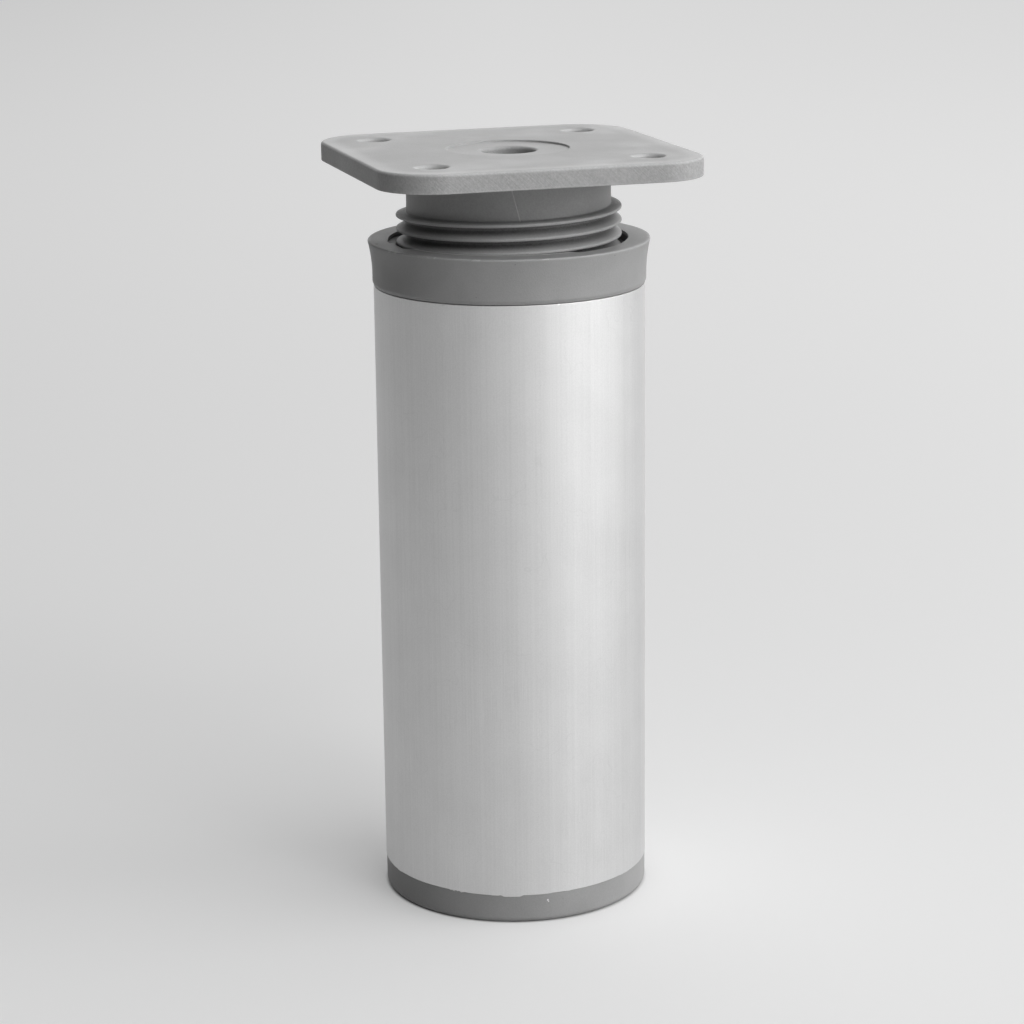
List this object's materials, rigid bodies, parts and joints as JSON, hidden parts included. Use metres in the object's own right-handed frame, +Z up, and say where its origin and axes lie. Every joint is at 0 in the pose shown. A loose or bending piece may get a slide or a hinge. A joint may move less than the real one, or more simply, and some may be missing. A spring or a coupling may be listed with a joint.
{
  "type": "adjustable cabinet leg",
  "caption": "Round metal furniture leg with a plastic foot, and a square screw-on plate whose threaded neck turns in a flared collar to set the height.",
  "frame": {"origin": "centre of the foot's underside, on the leg's axis", "axes": "+Z up along the leg towards the mounting plate, +X and +Y along the plate's edges"},
  "size_m": [0.06, 0.06, 0.141],
  "materials": {
    "grey_plastic": "matt, finely grained moulding",
    "satin_aluminium": "satin, with faint lines along the tube"
  },
  "bodies": {
    "foot": {"foot": "grey_plastic"},
    "leg": {"tube": "satin_aluminium", "collar": "grey_plastic"},
    "plate": {"mounting_plate": "grey_plastic"}
  },
  "joints": [
    {"name": "leg_turn", "type": "hinge", "parent": "foot", "child": "leg", "pos_m": [0, 0, 0.1163], "axis": [0, 0, 1], "range_deg": [-216, 1800]},
    {"name": "plate_lift", "type": "slide", "parent": "foot", "child": "plate", "axis": [0, 0, 1], "range_m": [-0.01251, 0.00151]}
  ],
  "couplings": [
    {"joint": "plate_lift", "follows": "leg_turn", "m_per_rad": -0.00039789}
  ]
}
